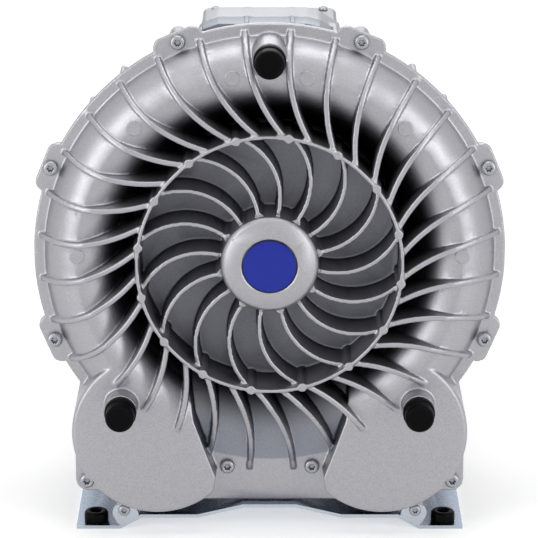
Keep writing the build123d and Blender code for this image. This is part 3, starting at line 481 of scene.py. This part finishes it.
# ------------------------------------------------------------------ cover screws
# Ten pan-head machine screws with a six-lobe socket, which hold the cover to the casing: steel
# with a bright zinc plating, so each head has a small mirror-like highlight.
screw_zinc = cast_metal("zinc-plated steel", "#a2a3a8", rough=0.32, grain=0.5)[0]
PAN_HEAD = [
    (0, 0.05), (0.30, 0.05), (0.36, 0.10), (0.41, 0.94), (0.45, 1), (0.62, 0.985), (0.78, 0.93),
    (0.89, 0.80), (0.96, 0.60), (1, 0.32), (1, 0.04), (0.98, 0), (0, 0),
]
pan_head = lathe_tree(
    "pan head with six-lobe socket", PAN_HEAD, lobes=6, lobed=(1, 2, 3), wave=0.16
)
lug_places = ring_of(radius=190.5, depth=0, angles=(-22.5, 22.5, -67.5, 67.5, -112.5, 112.5))
lug_places += ring_of(radius=187.5, depth=0, angles=(-169.2, 169.2))
lug_places += [spot(-152, 0, -197), spot(152, 0, -197)]
heads = place_pieces(
    "cover_screw_heads", pan_head, lug_places, FORWARD, screw_zinc, radius=6.3, height=4.5
)
stand_for(heads, "housing", "zinc_steel", "cover_screws")

# ------------------------------------------------------------------ stand-off feet
# Three turned rubber buffers on the cover's bosses, black natural rubber with a faint bloom. The
# machine can stand on them with its shaft upright, and each has a shallow cup in its end.
rubber, tree, shader, where = material("moulded black rubber")
bloom = node(tree, "ShaderNodeTexNoise", Vector=where, Scale=1 / (4 * MM), Detail=4.0)
tint = ramp(tree, bloom.outputs["Fac"], (0, linear("#020203")), (1, linear("#08080a")))
gloss = node(tree, "ShaderNodeMapRange", Value=bloom.outputs["Fac"], To_Min=0.30, To_Max=0.48)
skin = node(tree, "ShaderNodeTexNoise", Vector=where, Scale=1 / (0.6 * MM), Detail=2.0)
dent = node(tree, "ShaderNodeBump", Height=skin.outputs["Fac"], Strength=0.15, Distance=0.1 * MM)
feed(tree, shader, Base_Color=tint, Roughness=gloss.outputs[0], Normal=dent.outputs["Normal"])
feed(tree, shader, Specular_IOR_Level=0.06)
BUFFER = [
    (0, 0.965), (0.62, 0.965), (0.70, 0.97), (0.745, 0.99), (0.765, 1), (0.79, 0.995), (0.86, 0.95),
    (0.90, 0.87), (0.905, 0.45), (0.92, 0.40), (0.98, 0.38), (1, 0.34), (1, 0.04), (0.985, 0),
    (0, 0),
]
buffer_tree = lathe_tree("rubber buffer", BUFFER)
bosses = ring_of(radius=171, depth=-40.5, angles=(0, 135, -135))
buffers = place_pieces(
    "rubber_buffers", buffer_tree, bosses, FORWARD, rubber, radius=13, height=19.5
)
stand_for(buffers, "housing", "black_rubber", "standoff_feet")

# ------------------------------------------------------------------ hub badge
# A blue disc in the middle of the hub: printed foil under a low dome of clear resin, so the
# colour is deep and even; the rim is painted darker, as painted shade where the dome runs down.
badge_resin, tree, shader, where = material("royal blue foil under clear resin")
BADGE_R = 23
share = maths(tree, "DIVIDE", from_shaft(tree, where)[1], BADGE_R * MM)
# Painted shade: the outer rim of the disc is painted a darker blue.
tint = ramp(tree, share, (0.90, linear("#1a2da2")), (0.94, linear("#0a1040")))
fine = node(tree, "ShaderNodeTexNoise", Vector=where, Scale=1 / (5 * MM), Detail=1.0)
gloss = node(tree, "ShaderNodeMapRange", Value=fine.outputs["Fac"], To_Min=0.12, To_Max=0.2)
feed(tree, shader, Base_Color=tint, Roughness=gloss.outputs[0])
feed(tree, shader, Specular_IOR_Level=0.2, Coat_Weight=0.1, Coat_Roughness=0.06)
DOME = [
    (0, 1), (0.35, 0.98), (0.62, 0.93), (0.82, 0.84), (0.92, 0.72), (0.97, 0.52), (1, 0.2),
    (1, 0), (0, 0),
]
dome_tree = lathe_tree("domed disc", DOME)
hub_face = [spot(0, -32.5, 0)]
badge = place_pieces(
    "hub_dome", dome_tree, hub_face, FORWARD, badge_resin, radius=BADGE_R, height=2.3
)
stand_for(badge, "housing", "badge_enamel", "hub_badge")


# ------------------------------------------------------------------ wheel and shaft
# The vaned wheel is die-cast aluminium, turned bright on its faces; the shaft, its key and the
# bearings are ground steel. All of it is closed in by the castings.
wheel_metal = cast_metal("die-cast aluminium, turned", "#b4b4b6", rough=0.3, grain=0.6)[0]
ground_steel = cast_metal("ground steel", "#a9aaac", rough=0.22, grain=0.4)[0]
dress(wheel_metal, "wheel")
dress(ground_steel, "shaft", "wheel_key", "fan_clip")
dress(screw_zinc, "wheel_washer", "wheel_nut", "preload_washer")
dress(rubber, "shaft_seal", "terminal_box_gasket")
for end in ("front", "rear"):
    for part in ("outer_ring", "inner_ring", "balls"):
        dress(ground_steel, f"{end}_bearing_{part}")


def moulded(name, light, dark, rough=0.5):
    """Moulded plastic: a colour with a faint cloud, and the fine grain of its mould."""
    made, tree, shader, where = material(name)
    cloud = node(tree, "ShaderNodeTexNoise", Vector=where, Scale=1 / (8 * MM), Detail=2.0)
    skin = node(tree, "ShaderNodeTexNoise", Vector=where, Scale=1 / (0.8 * MM), Detail=2.0)
    tint = ramp(tree, cloud.outputs["Fac"], (0, linear(dark)), (1, linear(light)))
    dent = node(tree, "ShaderNodeBump", Height=skin.outputs["Fac"], Strength=0.2, Distance=0.1 * MM)
    feed(tree, shader, Base_Color=tint, Roughness=rough, Normal=dent.outputs["Normal"])
    return made


cage_nylon = moulded("natural polyamide", "#d9c48c", "#c4ac72")
dress(cage_nylon, "front_bearing_cage", "rear_bearing_cage")


# ------------------------------------------------------------------ motor
# A totally enclosed motor: finned housing and end shield of die-cast aluminium in its natural
# grey. Inside are stacks of electrical steel sheets and varnished copper coils.
def eased(name, finish, width):
    """A copy of a CAD node whose edges have the small round that casting or bending leaves."""
    piece = merged_copy(name)
    flat = piece.modifiers.new("flat", "DECIMATE")
    flat.decimate_type = "DISSOLVE"
    flat.angle_limit = radians(1)
    bevel = piece.modifiers.new("round", "BEVEL")
    bevel.width = width * MM
    bevel.segments = 2
    bevel.limit_method = "ANGLE"
    bevel.angle_limit = radians(30)
    bevel.miter_outer = "MITER_ARC"
    even = piece.modifiers.new("even", "WEIGHTED_NORMAL")
    even.keep_sharp = True
    piece.data.shade_smooth()
    apply_modifiers(piece)
    piece.data.materials.append(finish)
    return piece


motor_metal = cast_metal("die-cast aluminium, motor grade", "#8f9093", rough=0.45, grain=1.0)[0]
for name in ("motor_housing", "end_shield"):
    stand_for(eased(name, motor_metal, width=0.5), "housing", "motor_aluminium", name)

laminated, tree, shader, where, _ = cast_metal(
    "stacked electrical steel", "#6c6e72", rough=0.4, grain=0.6
)
bands = {"bands_direction": "Y"}  # about one every 4 mm, along the shaft
sheets = node(tree, "ShaderNodeTexWave", bands, Vector=where, Scale=1 / (12.56 * MM))
groove = node(
    tree, "ShaderNodeBump", Height=sheets.outputs["Fac"], Strength=0.5, Distance=0.2 * MM
)
feed(tree, shader, Normal=groove.outputs["Normal"])
dress(laminated, "rotor_core", "stator_core")

copper, tree, shader, where, _ = cast_metal(
    "varnished copper wire", "#b0602c", rough=0.35, grain=0.8
)
rings = {"wave_type": "RINGS", "rings_direction": "Y"}  # one every 2.4 mm, round the shaft
wires = node(
    tree, "ShaderNodeTexWave", rings,
    Vector=from_shaft(tree, where)[0], Scale=1 / (7.536 * MM), Distortion=1.5,
)
groove = node(tree, "ShaderNodeBump", Height=wires.outputs["Fac"], Strength=0.8, Distance=0.4 * MM)
feed(tree, shader, Normal=groove.outputs["Normal"])
dress(copper, "stator_windings")

HEX_HEAD = [(0, 1), (0.70, 1), (0.86, 0.96), (0.97, 0.80), (1, 0.7), (1, 0.02), (0.99, 0), (0, 0)]
hex_head = lathe_tree("hexagon head", HEX_HEAD, lobes=6, lobed=(2, 3, 4, 5, 6), wave=0.07)
BACKWARD = (0, 1, 0)
flange_places = ring_of(radius=90, depth=56, angles=(50, 130, 230, 310))
flange_bolts = place_pieces(
    "motor_flange_heads", hex_head, flange_places, BACKWARD, screw_zinc, radius=5.4, height=4
)
stand_for(flange_bolts, "housing", "zinc_steel", "motor_flange_screws")
shield_places = ring_of(radius=78.5, depth=246, angles=(0, 90, 180, 270))
shield_bolts = place_pieces(
    "end_shield_heads", hex_head, shield_places, BACKWARD, screw_zinc, radius=4.3, height=4
)
stand_for(shield_bolts, "housing", "zinc_steel", "end_shield_bolts")

# ------------------------------------------------------------------ fan and cowl
# A moulded fan blows air over the motor's fins. Its cowl is deep-drawn sheet steel with punched
# slots, powder-coated silver grey, which gives a fine even orange peel.
fan_nylon = moulded("black polyamide, glass filled", "#25262a", "#191a1d", rough=0.45)
dress(fan_nylon, "cooling_fan")
coating = cast_metal(
    "silver grey powder coating", "#a4a5a8", rough=0.38, grain=1.6, metallic=0.35
)[0]
stand_for(eased("fan_cowl", coating, width=0.4), "housing", "cowl_sheet", "fan_cowl")
COWL_ANGLES = (45, 135, 225, 315)
cowl_places = ring_of(radius=98.8, depth=240, angles=COWL_ANGLES)
outward = [Vector((sin(radians(a)), 0, cos(radians(a)))) for a in COWL_ANGLES]
cowl_heads = place_pieces(
    "cowl_screw_heads", pan_head, cowl_places, outward, screw_zinc, radius=3.8, height=2.6
)
stand_for(cowl_heads, "housing", "zinc_steel", "cowl_screws")

# ------------------------------------------------------------------ terminal box
# A cast box with a screwed lid on top of the motor, its moulded terminal board with brass studs
# inside, and a plastic gland for the supply cable.
for name in ("terminal_box", "terminal_box_lid"):
    stand_for(eased(name, motor_metal, width=0.6), "housing", "motor_aluminium", name)
gland_nylon = moulded("dark grey polyamide", "#3a3b3f", "#2c2d30", rough=0.4)
stand_for(eased("cable_gland", gland_nylon, width=0.4), "housing", "gland_plastic", "cable_gland")
dress(moulded("moulded phenolic", "#7a3d22", "#5e2c18", rough=0.35), "terminal_board")
dress(cast_metal("turned brass", "#c9a25a", rough=0.25, grain=0.4)[0], "terminal_studs")
UPWARD = (0, 0, 1)
LID_TOP = 160.5
lid_corners = [spot(x, depth, LID_TOP) for x in (-46, 46) for depth in (105, 191)]
lid_heads = place_pieces(
    "lid_screw_heads", pan_head, lid_corners, UPWARD, screw_zinc, radius=3.9, height=2.8
)
stand_for(lid_heads, "housing", "zinc_steel", "lid_screws")

# ------------------------------------------------------------------ silencers
# Each pipe holds a sleeve of grey open-cell foam behind a zinc-plated perforated tube, and ends
# in a cast flange with a hexagon and a pipe thread, held by three hexagon screws.
foam, tree, shader, where = material("open-cell polyurethane foam")
cells = node(tree, "ShaderNodeTexVoronoi", Vector=where, Scale=1 / (1.5 * MM))
tint = ramp(tree, cells.outputs["Distance"], (0, linear("#2b2c2f")), (1, linear("#55575b")))
pores = node(
    tree, "ShaderNodeBump", Height=cells.outputs["Distance"], Strength=1.0, Distance=0.8 * MM
)
feed(tree, shader, Base_Color=tint, Roughness=0.95, Normal=pores.outputs["Normal"])

perforated, given = new_tree(
    "perforated tube", "Tubes", Middles="Geometry", Radius="Float", Length="Float",
    Hole_share="Float", Holes_round="Int", Rows_along="Int", Finish="Material",
)
wall = node(
    perforated, "GeometryNodeMeshCylinder", {"fill_type": "NONE"}, Vertices=given["Holes round"],
    Side_Segments=given["Rows along"], Radius=given["Radius"], Depth=given["Length"],
)
punched = node(
    perforated, "GeometryNodeExtrudeMesh",
    Mesh=wall.outputs["Mesh"], Offset_Scale=0.0, Individual=True,
)
shrunk = node(
    perforated, "GeometryNodeScaleElements",
    Geometry=punched.outputs["Mesh"], Selection=punched.outputs["Top"], Scale=given["Hole share"],
)
opened = node(
    perforated, "GeometryNodeDeleteGeometry", {"domain": "FACE"},
    Geometry=shrunk.outputs[0], Selection=punched.outputs["Top"],
)
rounded = node(perforated, "GeometryNodeSubdivisionSurface", Mesh=opened.outputs[0], Level=1)
lying = node(
    perforated, "GeometryNodeInstanceOnPoints",
    Points=given["Middles"], Instance=rounded.outputs[0], Rotation=(pi / 2, 0, 0),
)
real = node(perforated, "GeometryNodeRealizeInstances", Geometry=lying.outputs[0])
done = node(
    perforated, "GeometryNodeSetMaterial", Geometry=real.outputs[0], Material=given["Finish"]
)
node(perforated, "NodeGroupOutput", Tubes=done.outputs[0])

PIPES = {"inlet": -93, "outlet": 93}
PIPE_Z, TUBE_MIDDLE, FLANGE_BACK = -147.5, 134, 204
PORT_SCREW_R, PORT_ANGLES = 69, (58, 178, -62)
TUBE = {
    "Radius": 36.9 * MM, "Length": 108 * MM, "Hole share": 0.62,
    "Holes round": 36, "Rows along": 17, "Finish": screw_zinc,
}
port_places = []
for side, x in PIPES.items():
    dress(foam, f"{side}_silencer_foam")
    tube = new_piece(f"{side}_perforated_tube", bpy.data.meshes.new(f"{side}_tube"))
    tube.data.from_pydata([spot(x, TUBE_MIDDLE, PIPE_Z)], [], [])
    run_tree(tube, perforated, TUBE)
    sheet = tube.modifiers.new("sheet", "SOLIDIFY")
    sheet.thickness = 1.3 * MM
    sheet.offset = -1
    apply_modifiers(tube)
    tube.data.shade_smooth()
    stand_for(tube, "housing", "zinc_steel", f"{side}_silencer_tube")
    flange = eased(f"{side}_port_flange", die_cast, width=0.7)
    stand_for(flange, "housing", "cast_aluminium", f"{side}_port_flange")
    outwards = 1 if x > 0 else -1
    for angle in PORT_ANGLES:
        across = x + outwards * PORT_SCREW_R * sin(radians(angle))
        up = PIPE_Z + PORT_SCREW_R * cos(radians(angle))
        port_places.append(spot(across, FLANGE_BACK, up))
port_heads = place_pieces(
    "port_flange_heads", hex_head, port_places, BACKWARD, screw_zinc, radius=4.3, height=4
)
stand_for(port_heads, "housing", "zinc_steel", "port_flange_screws")

# ------------------------------------------------------------------ foot bracket
# One folded sheet of zinc-plated steel, bright and slightly blue from its passivation, with a
# painted reflection that darkens it where it lies level. A tab is bent up on each side for a pan
# head, and four bolts come from below.
plated, tree, shader, where, speckled = cast_metal(
    "blue passivated zinc sheet", "#b9bfc8", rough=0.24, grain=0.7
)
spangle = node(tree, "ShaderNodeTexVoronoi", Vector=where, Scale=1 / (7 * MM))
patchy = node(
    tree, "ShaderNodeMapRange", Value=spangle.outputs["Distance"], To_Min=0.18, To_Max=0.34
)
# Painted reflection: faces that look up are painted a darker blue-grey, as the dark room mirrored
# in them.
normal = node(tree, "ShaderNodeNewGeometry").outputs["Normal"]
facing_up = node(tree, "ShaderNodeSeparateXYZ", Vector=normal).outputs["Z"]
level = node(tree, "ShaderNodeMapRange", Value=facing_up, From_Min=0.7, From_Max=0.95)
level_painted_dark = blend(tree, level.outputs[0], speckled, linear("#8a94a3"))
feed(tree, shader, Base_Color=level_painted_dark, Roughness=patchy.outputs[0])
stand_for(eased("foot_bracket", plated, width=0.4), "housing", "zinc_sheet", "foot_bracket")
tab_places = [spot(-121, -10, -220), spot(121, -10, -220)]
tab_heads = place_pieces(
    "tab_screw_heads", pan_head, tab_places, FORWARD, screw_zinc, radius=5, height=3
)
stand_for(tab_heads, "housing", "zinc_steel", "bracket_screws")
DOWNWARD = (0, 0, -1)
SHEET_UNDERSIDE = 10 - SHAFT_HEIGHT
below = [spot(x, depth, SHEET_UNDERSIDE) for x in PIPES.values() for depth in (40, 134)]
under_heads = place_pieces(
    "bracket_bolt_heads", hex_head, below, DOWNWARD, screw_zinc, radius=5.4, height=4
)
stand_for(under_heads, "housing", "zinc_steel", "bracket_bolts")

# ------------------------------------------------------------------ foot bushes
# Four rubber bushes in the bracket's feet, each with a hole for a floor bolt: moulded black
# rubber, rounded at the top.
BUSH = [
    (0.45, 0), (0.45, 0.92), (0.48, 0.97), (0.55, 0.99), (0.66, 1), (0.80, 0.99), (0.90, 0.95),
    (0.97, 0.87), (1, 0.76), (1, 0.32), (0.97, 0.26), (0.75, 0.25), (0.75, 0), (0.45, 0),
]
FOOT_X, FOOT_Y = 145, 70
feet = [MM * Vector((x, y, 0)) for x in (-FOOT_X, FOOT_X) for y in (-FOOT_Y, FOOT_Y)]
bush_tree = lathe_tree("foot bush", BUSH)
bushes = place_pieces(
    "rubber_foot_bushes", bush_tree, feet, UPWARD, rubber, radius=10, height=12
)
stand_for(bushes, "housing", "black_rubber", "foot_bushes")
